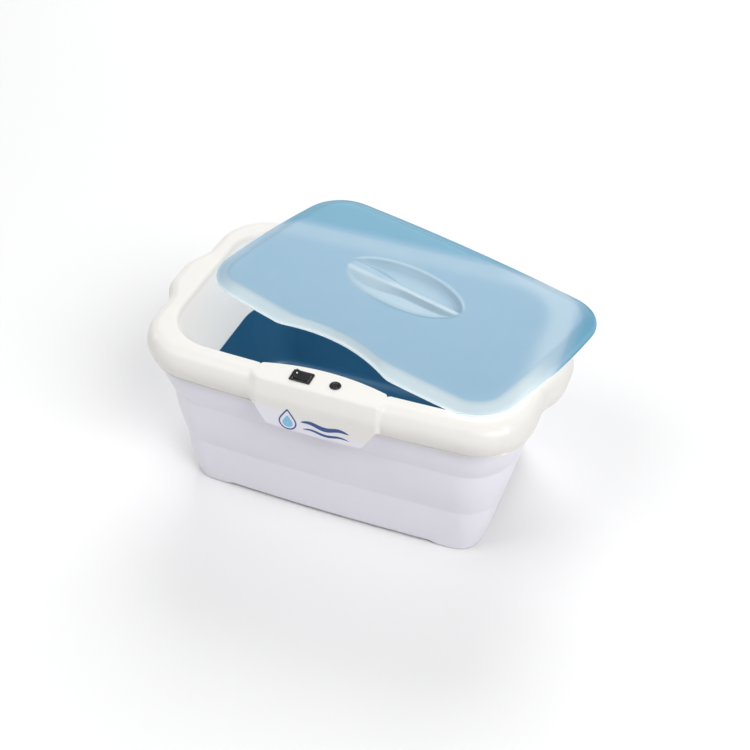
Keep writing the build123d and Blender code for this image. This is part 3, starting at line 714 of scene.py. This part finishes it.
rim_rings = (inner_wall_rings() + lip_rings() + top_rings() + face_rings() + foot_rings()
             + hidden_rings())
piece("rim_moulding", loft("rim_moulding", rim_rings, round_trip=True, sharp=60), "tub",
      FINISH["rim_plastic"], ["rim"])


# ---- tank -------------------------------------------------------------------------------------
TANK_ROUNDING = [  # height above the floor, distance out from the foot's plan
    (0.0, -9.0), (0.3, -7.0), (1.2, -4.8), (2.6, -2.9), (4.4, -1.4), (7.0, -0.2), (10.0, 0.6)]


def floor_rings(edge, shares):
    return [edge * [share, share, 1] for share in shares]


def make_tank():
    up, out = TANK_ROUNDING[-1]
    inside = smooth_rows(
        [key(TANK_FLOOR_Z + rise, grown(TANK_FOOT_PLAN, by)) for rise, by in TANK_ROUNDING], 1.0)
    inside += lerp_rows(key(TANK_FLOOR_Z + up, grown(TANK_FOOT_PLAN, out)),
                        key(TANK_TOP_Z, TANK_TOP_PLAN), 24)
    flange = [
        key(TANK_TOP_Z, TANK_TOP_PLAN), key(TANK_TOP_Z, grown(TANK_TOP_PLAN, FLANGE)),
        key(TANK_TOP_Z - TANK_WALL, grown(TANK_TOP_PLAN, FLANGE)),
        key(TANK_TOP_Z - TANK_WALL, grown(TANK_TOP_PLAN, TANK_WALL)),
    ]
    outside = [key(TANK_FLOOR_Z - TANK_WALL + rise, grown(TANK_FOOT_PLAN, by + TANK_WALL))
               for rise, by in TANK_ROUNDING[::-1]]
    rings = floor_rings(row_points(inside[0]), [0.02, 0.2, 0.4, 0.6, 0.8, 0.95])
    rings += [row_points(row) for row in inside + flange + outside]
    rings += floor_rings(row_points(outside[-1]), [0.8, 0.4, 0.02])
    return loft("tank_shell", rings, caps=True, sharp=50)


piece("tank_shell", make_tank(), "tub", FINISH["tank_coating"], ["tank"])


# ---- lid --------------------------------------------------------------------------------------
SCOOP_AT = (-4.0, 5.0)
SCOOP_HALF = (71.0, 36.0)
SCOOP_DEPTHS = np.array([  # distance in from the scoops' edge, height
    (-4.0, 200.0), (-1.2, 199.98), (0.0, 199.75), (1.0, 199.2), (2.2, 198.1), (4.0, 195.6),
    (6.0, 193.3), (9.0, 191.2), (13.0, 189.8), (18.0, 189.1), (40.0, 188.9),
])
RIB_SLOPE = np.array([  # distance from the rib's crest, height
    (0.0, 200.0), (1.2, 199.95), (2.0, 199.6), (2.8, 198.6), (5.6, 191.4), (7.2, 188.0)])
FRONT_EASE = 0.4  # how much gentler the front scoop's bank is
SCOOP_SHARE = 0.68  # the scoops' depth as a share of the table's
RIB_SPREAD = 2.0  # how much wider the rib is at its left end
NOTCH_HALF = 70.0
LID_PROFILE = [  # plan, distance out, height, notch's crown and side, share of band and of wall; the two shares place the painted light on the front band and the painted highlight on the edge wall
    (PLATEAU_PLAN, -1.6, LID_TOP_Z, -90.1, -103.1, 0.0, 0.0),
    (PLATEAU_PLAN, -0.2, 199.85, -91.2, -104.2, 0.1, 0.0),
    (PLATEAU_PLAN, 1.0, 199.45, -92.0, -105.0, 0.35, 0.0),
    (PLATEAU_PLAN, 2.2, 198.85, -92.8, -105.9, 0.7, 0.0),
    (PLATEAU_PLAN, 5.0, 197.2, -94.2, -107.9, 1.0, 0.0),
    (PLATEAU_PLAN, 8.5, 195.3, -95.7, -110.3, 1.0, 0.0),
    (PLATEAU_PLAN, 11.0, 194.25, -96.9, -112.2, 1.0, 0.0),
    (PLATEAU_PLAN, 12.2, 194.05, -97.5, -113.2, 1.0, 0.0),
    (LID_PLAN, -1.0, 194.15, -98.0, -113.6, 1.0, 0.0),
    (LID_PLAN, -0.4, 194.1, -98.5, -114.1, 1.0, 0.6),
    (LID_PLAN, -0.05, 193.7, -98.8, -114.4, 1.0, 1.0),
    (LID_PLAN, 0.0, 192.8, -98.8, -114.4, 1.0, 1.0),
    (LID_PLAN, 0.0, 191.9, -98.8, -114.4, 1.0, 1.0),
    (LID_PLAN, -0.3, 191.3, -98.6, -114.1, 1.0, 0.5),
    (LID_PLAN, -0.9, LID_EDGE_Z, -98.2, -113.5, 1.0, 0.0),
    (LID_PLAN, -1.7, LID_EDGE_Z, -97.6, -112.8, 1.0, 0.0),
    (LID_PLAN, -2.3, 191.4, -97.0, -112.2, 1.0, 0.0),
    (PLATEAU_PLAN, 9.8, 192.0, -95.2, -110.5, 1.0, 0.0),
    (PLATEAU_PLAN, 4.0, 194.9, -92.6, -106.4, 1.0, 0.0),
    (PLATEAU_PLAN, 0.8, 196.8, -91.0, -103.6, 1.0, 0.0),
    (PLATEAU_PLAN, -1.8, 197.5, -89.0, -102.0, 1.0, 0.0),
]


def scoop_inset(x, y):
    """How far a point is in from the oval edge of the scoops."""
    low, high = np.full(len(x), -60.0), np.full(len(x), SCOOP_HALF[1] - 0.2)
    for _ in range(30):
        middle = (low + high) / 2
        inside = (x / (SCOOP_HALF[0] - middle)) ** 2 + (y / (SCOOP_HALF[1] - middle)) ** 2 < 1
        low, high = np.where(inside, middle, low), np.where(inside, high, middle)
    return (low + high) / 2


def rib_distance(x, y):
    """Distance from the rib's crest, less where the rib is wider."""
    return np.abs(y) / (1 + RIB_SPREAD * smoothstep((10.0 - x) / 60.0))


def lid_top_z(x, y):
    x, y = x - SCOOP_AT[0], y - SCOOP_AT[1]
    inset = scoop_inset(x, y)
    inset = np.where(inset > 0, inset * (1 - FRONT_EASE * smoothstep(-y / 10.0)), inset)
    bowl = np.interp(inset, SCOOP_DEPTHS[:, 0], SCOOP_DEPTHS[:, 1])
    rib = np.interp(rib_distance(x, y), RIB_SLOPE[:, 0], RIB_SLOPE[:, 1])
    surface = np.minimum(smooth_max(bowl, rib, 0.8), LID_TOP_Z)
    return LID_TOP_Z - SCOOP_SHARE * (LID_TOP_Z - surface)


def lid_ring(plan, z, crown_y, side_y):
    """Ring of the lid. A notch in its front edge clears the control panel's arch."""
    flat = ring(plan)
    arc = crown_y + (side_y - crown_y) * (flat[:, 0] / NOTCH_HALF) ** 2
    flat[:, 1] = np.where(flat[:, 1] < 0, smooth_max(flat[:, 1], arc, 3.0), flat[:, 1])
    return np.column_stack([flat, np.full(len(flat), z)])


def lid_middle(edge, wall, shares_in, shares_out):
    """Rings from the lid's middle, across the scoops, out to the raised part's edge."""
    outline = ring(LID_PLAN)
    turn = np.arctan2((outline[:, 1] - SCOOP_AT[1]) / LID_PLAN[1],
                      (outline[:, 0] - SCOOP_AT[0]) / LID_PLAN[0])
    oval = np.column_stack([SCOOP_HALF[0] * np.cos(turn), SCOOP_HALF[1] * np.sin(turn)])
    flats = [oval * share + SCOOP_AT for share in shares_in]
    flats += [oval + SCOOP_AT + (edge[:, :2] - oval - SCOOP_AT) * share for share in shares_out]
    return [np.column_stack([flat, lid_top_z(*flat.T) - wall]) for flat in flats]


def outside_box(x, y, half_x, half_y, radius):
    """Distance outside a rectangle with rounded corners, negative inside."""
    over_x, over_y = np.abs(x) - half_x + radius, np.abs(y) - half_y + radius
    beyond = np.hypot(np.maximum(over_x, 0), np.maximum(over_y, 0))
    return beyond + np.minimum(np.maximum(over_x, over_y), 0) - radius


MIDDLE_TONE = 0.5
# Painted highlight on the lid's edge wall over the rim, and painted shade on its free edge wall.
EDGE_WALL_HIGHLIGHT_TONE = 1.25
FREE_EDGE_WALL_SHADE_TONE = 0.03
LOOK_THROUGH_SHIFT = (-3.0, 13.0)  # how far the rim below seems moved through the lid, for the painted look-through


def add_painted_light_tones(mesh, band, wall):
    """Painted light and shade of the frosted plastic: paler where the white rim below is painted as
    shining through, with painted highlights at the edges and scoops, and deeper painted shade past
    the rim.
    """
    spot = np.array([vertex.co for vertex in mesh.vertices]) / MM
    x, y = spot[:, 0], spot[:, 1]
    seen_x = x * math.cos(LID_TURN) - y * math.sin(LID_TURN) + LID_CENTRE[0] + LOOK_THROUGH_SHIFT[0]
    seen_y = x * math.sin(LID_TURN) + y * math.cos(LID_TURN) + LID_CENTRE[1] + LOOK_THROUGH_SHIFT[1]
    # Painted look-through: paler where the white rim lies below the lid, deeper painted shade past
    # the rim.
    past_rim = smoothstep((outside_box(seen_x, seen_y, 199, 132, 56) + 8) / 18)
    past_opening = smoothstep((outside_box(seen_x, seen_y, 174, 105, 50) + 12) / 20)
    over_rim = past_opening * (1 - past_rim)
    # Painted light on the sloping front band, and painted look-through of the rim on the right.
    front = smoothstep((20.0 - y) / 60.0) * (0.3 + 0.7 * smoothstep((x + 178.0) / 55.0))
    right = smoothstep((seen_x - 90) / 60)
    front_band = band * front
    painted_light_tone = MIDDLE_TONE + over_rim * (0.07 + 0.07 * right + 0.24 * front_band) - 0.34 * past_rim
    painted_light_tone += 0.34 * front_band * (1 - over_rim)

    # Painted light lifting both scoops, painted shade along the front scoop's bank, painted
    # highlights along the rear scoop's edge and the rib's crest.
    in_x, in_y = x - SCOOP_AT[0], y - SCOOP_AT[1]
    inset = scoop_inset(in_x, in_y)
    rear = smoothstep((in_y - 4.0) / 10.0)
    painted_light_tone += smoothstep(inset / 5.0) * (0.17 * smoothstep(-in_y / 4.0) + 0.11 * rear)
    bank = np.exp(-((inset - 3.0) / 4.0) ** 2) * smoothstep(-in_y / 12.0)
    painted_light_tone -= 0.20 * bank * smoothstep((in_x + 40.0) / 50.0)
    painted_light_tone += 0.22 * rear * np.exp(-((inset - 0.2) / 1.4) ** 2)
    crest = np.exp(-(np.maximum(rib_distance(in_x, in_y) - 1.6, 0) / 0.8) ** 2)
    crest *= smoothstep(inset / 6.0)
    painted_light_tone += crest * (0.08 + 0.16 * smoothstep((in_x + 30.0) / 30.0))

    # Painted highlight on the front edge wall over the rim, painted shade on the edge wall past the
    # rim.
    painted_light_tone += wall * (EDGE_WALL_HIGHLIGHT_TONE - painted_light_tone) * front * (1 - past_rim) \
        + wall * (FREE_EDGE_WALL_SHADE_TONE - painted_light_tone) * past_rim
    values = mesh.attributes.new("painted_light_tone", "FLOAT", "POINT").data
    values.foreach_set("value", np.clip(painted_light_tone, 0, TONE_SPAN))


def make_lid():
    shares_in = np.concatenate([[0.01], np.linspace(0.03, 0.74, 34), np.linspace(0.75, 1.0, 26)])
    shares_out = np.concatenate([np.linspace(0.01, 0.12, 8), np.linspace(0.16, 0.97, 16)])
    side = [lid_ring(grown(plan, out), z, crown_y, side_y)
            for plan, out, z, crown_y, side_y, _, _ in LID_PROFILE]
    top = lid_middle(side[0], 0.0, shares_in, shares_out)
    under = lid_middle(side[-1], LID_WALL, shares_in[::2], shares_out[::2])[::-1]
    rings = top + side + under
    mesh = loft("lid_moulding", rings, caps=True)
    shares = np.zeros((len(rings), 2))
    shares[len(top): len(top) + len(side)] = [row[5:] for row in LID_PROFILE]
    add_painted_light_tones(mesh, *np.repeat(shares, len(rings[0]), axis=0).T)
    to_place = Matrix.Translation(Vector((*LID_CENTRE, 0)) * MM)
    mesh.transform(to_place @ Matrix.Rotation(LID_TURN, 4, "Z"))
    return mesh


lid = piece("lid_moulding", make_lid(), "lid", FINISH["lid_plastic"], ["lid"])
lid.visible_shadow = False  # the frosted plastic lets the soft light through


# ---- switch and lamp --------------------------------------------------------------------------
BEZEL = [  # half length, half width, corner radius, height
    (9.4, 6.4, 0.8, 174.2), (9.4, 6.4, 0.8, 191.7), (10.35, 7.35, 1.2, 191.75),
    (10.5, 7.5, 1.3, 192.0), (10.5, 7.5, 1.3, 192.7), (10.35, 7.35, 1.2, 193.1),
    (10.0, 7.0, 0.9, 193.4), (9.2, 6.1, 0.7, 193.4), (8.75, 5.6, 0.5, 193.3),
    (8.5, 5.35, 0.4, 192.9), (8.5, 5.3, 0.4, 184.0),
]
ROCKER_SIDES = [  # y, scale of the outline: the sides are rounded towards both ends
    (-5.0, 0.90), (-4.9, 0.955), (-4.6, 0.985), (-4.1, 1.0),
    (4.1, 1.0), (4.6, 0.985), (4.9, 0.955), (5.0, 0.90),
]
ROCKER_END = [(7.2, 3.75), (7.5, 3.55), (ROCKER_HALF, 3.0)]
ROCKER_LOW = [(7.2, -2.2), (3.6, -3.9), (0, -4.6), (-3.6, -3.9), (-7.2, -2.2)]
WHITE_DOT_X = -5.3
ROCKER_PLACE = (Matrix.Translation(Vector((*SWITCH_AT, PIVOT_Z)) * MM)
                @ Matrix.Rotation(ROCKER_TILT, 4, "Y"))
LAMP_RING = [  # radius, height
    (4.0, 178.2), (4.0, 191.7), (5.4, 191.75), (5.5, 192.0), (5.5, 192.6), (5.3, 193.0),
    (4.9, 193.2), (4.3, 193.2), (3.8, 193.0), (3.55, 192.5), (3.5, 190.0),
]
LAMP_DOME = [
    (3.42, 187.0), (3.42, 192.4), (3.2, 193.1), (2.7, 193.6), (1.9, 193.9), (1.0, 194.0),
    (0.05, 194.02),
]


def placed(rings, x, y):
    return [points + [x, y, 0] for points in rings]


def rocker_top_z(x):
    return 2.35 + 1.55 * (x / ROCKER_HALF) ** 2


def make_rocker():
    """Rocker with a shallow hollow top, rounded along its edges."""
    outline = [(-x, z) for x, z in ROCKER_END[::-1]]
    outline += [(x, rocker_top_z(x)) for x in np.linspace(-7.0, 7.0, 22)]
    outline = np.array(outline + ROCKER_END + ROCKER_LOW)
    rings = [upright(outline * [1 - (1 - scale) * 0.5, scale], y) for y, scale in ROCKER_SIDES]
    mesh = loft("rocker_paddle", rings, caps=True, sharp=40)
    mesh.transform(ROCKER_PLACE)
    return mesh


def make_rocker_white_dot():
    """White dot near the raised end."""
    turn = np.linspace(0, 2 * math.pi, 25)[:-1]
    rings = []
    for radius, rise in [(0.8, -0.2), (0.8, 0.05), (0.72, 0.09), (0.1, 0.1)]:
        x = WHITE_DOT_X + radius * np.cos(turn)
        rings.append(np.column_stack([x, radius * np.sin(turn), rocker_top_z(x) + rise]))
    mesh = loft("rocker_white_dot", rings, caps=True)
    mesh.transform(ROCKER_PLACE)
    return mesh


def lathe(name, profile, at, steps=48):
    turn = np.linspace(0, 2 * math.pi, steps + 1)[:-1]
    rings = [np.column_stack([r * np.cos(turn), r * np.sin(turn), np.full(steps, z)])
             for r, z in profile]
    return loft(name, placed(rings, *at), caps=True, sharp=45)


bezel = loft("switch_bezel", placed([box_ring(*row) for row in BEZEL], *SWITCH_AT), caps=True,
             sharp=50)
piece("switch_bezel", bezel, "tub", FINISH["black_plastic"], ["switch_housing"])
piece("rocker_paddle", make_rocker(), "rocker", FINISH["black_plastic"],
      ["switch_rocker"])
piece("rocker_white_dot", make_rocker_white_dot(), "rocker", WHITE_DOT_FINISH)
piece("lamp_ring", lathe("lamp_ring", LAMP_RING, LAMP_AT), "tub",
      FINISH["black_plastic"], ["lamp_bezel"])
piece("lamp_dome", lathe("lamp_dome", LAMP_DOME, LAMP_AT), "tub",
      FINISH["lamp_lens"], ["lamp_lens"])


# ---- printed emblem on the apron: a plain drop and two waves ----------------------------------
PRINT_BACK_Y, PRINT_FACE_Y = APRON_FACE_Y + 0.1, APRON_FACE_Y - 0.12


def printed(name, outer, inner, finish):
    """Thin print between two closed lines of x, z points."""
    rings = [upright(outer, PRINT_FACE_Y), upright(inner, PRINT_FACE_Y),
             upright(inner, PRINT_BACK_Y), upright(outer, PRINT_BACK_Y)]
    piece(name, loft(name, rings, round_trip=True, sharp=30), "tub", finish)


def drop(at_x, at_z, size):
    turn = np.linspace(0, 2 * math.pi, 61)[:-1]
    pull = np.maximum(np.cos(turn), 0) ** 3
    x = at_x + size * np.sin(turn) * (1 - 0.55 * pull)
    return np.column_stack([x, at_z + size * (np.cos(turn) + 0.75 * pull)])


def stripe(name, x0, x1, z, half, sway, finish):
    """A swaying stripe that tapers to both ends."""
    x = np.linspace(x0, x1, 80)
    share = (x - x0) / (x1 - x0)
    middle = z + sway * np.sin(share * 3 * math.pi)
    thick = half * np.sqrt(np.clip(np.sin(share * math.pi), 0.02, 1))

    def outline(width):
        top = np.column_stack([x, middle + width])
        low = np.column_stack([x, middle - width])
        return np.concatenate([top, low[::-1]])

    printed(name, outline(thick), outline(thick * 0.02), finish)


printed("emblem_ring", drop(-25.5, 151.2, 9.2), drop(-25.5, 151.2, 7.7), INK_NAVY)
printed("emblem_drop", drop(-25.5, 150.4, 5.2), drop(-25.5, 150.4, 0.4), INK_BLUE)
stripe("emblem_wave_upper", -12.0, 36.0, 155.6, 2.6, 1.6, INK_NAVY)
stripe("emblem_wave_lower", -10.0, 36.0, 147.6, 1.5, 1.2, INK_NAVY)


# ---- floor, light and camera ------------------------------------------------------------------
FLOOR_HALF = 2400
FLOOR_Z = -0.15
LIGHTS = [  # name, place, aim, size in metres, power in watts, whether glossy surfaces mirror it
    ("right", (1.7, -1.1, 2.1), (0, 0, 0.1), 1.8, 60, True),
    ("left", (-1.3, -1.0, 2.3), (0, 0, 0.1), 1.8, 29, True),
    ("back", (-0.6, 2.5, 2.2), (0, 0.7, 0), 2.4, 80, False),
]
CAMERA_AZIMUTH, CAMERA_ELEVATION = math.radians(19.63), math.radians(39.98)
CAMERA_ROLL = math.radians(1.55)
CAMERA_AIM = Vector((0.012, 0.0, 0.11505))
CAMERA_DISTANCE = 1.2379


def make_floor(steps=24):
    line = np.linspace(-FLOOR_HALF, FLOOR_HALF, steps + 1)
    verts = [(x, y, FLOOR_Z) for y in line for x in line]
    faces = []
    for j in range(steps):
        for i in range(steps):
            a = j * (steps + 1) + i
            faces.append((a, a + 1, a + steps + 2, a + steps + 1))
    floor = bpy.data.objects.new("floor", mesh_of("floor", verts, faces))
    floor.data.materials.append(material(
        "floor_paint", (0.75, 0.75, 0.75), (0.745, 0.745, 0.745), (0.55, 0.6), cloud=3.0,
        bump=0.02))
    bpy.context.scene.collection.objects.link(floor)


def area_light(name, at, aim, size, power, mirrored):
    light = bpy.data.lights.new(name, "AREA")
    light.shape, light.size, light.energy = "DISK", size, power
    obj = bpy.data.objects.new(name, light)
    obj.location = at
    obj.rotation_mode = "QUATERNION"
    obj.rotation_quaternion = (Vector(aim) - Vector(at)).to_track_quat("-Z", "Y")
    obj.visible_glossy = mirrored
    bpy.context.scene.collection.objects.link(obj)


def make_camera():
    level = math.cos(CAMERA_ELEVATION)
    back = Vector((math.sin(CAMERA_AZIMUTH) * level, -math.cos(CAMERA_AZIMUTH) * level,
                   math.sin(CAMERA_ELEVATION)))
    right = Vector((math.cos(CAMERA_AZIMUTH), math.sin(CAMERA_AZIMUTH), 0))
    up = back.cross(right)
    across = right * math.cos(CAMERA_ROLL) + up * math.sin(CAMERA_ROLL)
    upward = up * math.cos(CAMERA_ROLL) - right * math.sin(CAMERA_ROLL)
    camera = bpy.data.objects.new("camera", bpy.data.cameras.new("camera"))
    camera.data.lens, camera.data.sensor_width = 57.6, 36.0
    camera.data.clip_start, camera.data.clip_end = 0.01, 30
    turned = Matrix((across, upward, back)).transposed().to_4x4()
    camera.matrix_world = Matrix.Translation(CAMERA_AIM + back * CAMERA_DISTANCE) @ turned
    bpy.context.scene.collection.objects.link(camera)
    bpy.context.scene.camera = camera


def make_world():
    """Soft surround, brighter near the horizon than overhead."""
    world = bpy.data.worlds.new("studio")
    world.use_nodes = True
    nodes, links = world.node_tree.nodes, world.node_tree.links
    direction = nodes.new("ShaderNodeTexCoord")
    height = nodes.new("ShaderNodeSeparateXYZ")
    links.new(direction.outputs["Generated"], height.inputs["Vector"])
    fade = nodes.new("ShaderNodeMapRange")
    fade.inputs["From Min"].default_value, fade.inputs["From Max"].default_value = 0.10, 0.30
    fade.inputs["To Min"].default_value, fade.inputs["To Max"].default_value = 0.85, 0.24
    links.new(height.outputs["Z"], fade.inputs["Value"])
    nodes["Background"].inputs["Color"].default_value = (0.97, 0.98, 1.0, 1)
    links.new(fade.outputs["Result"], nodes["Background"].inputs["Strength"])
    bpy.context.scene.world = world


make_floor()
make_camera()
for row in LIGHTS:
    area_light(*row)
make_world()
bpy.context.scene.view_settings.view_transform = "Standard"
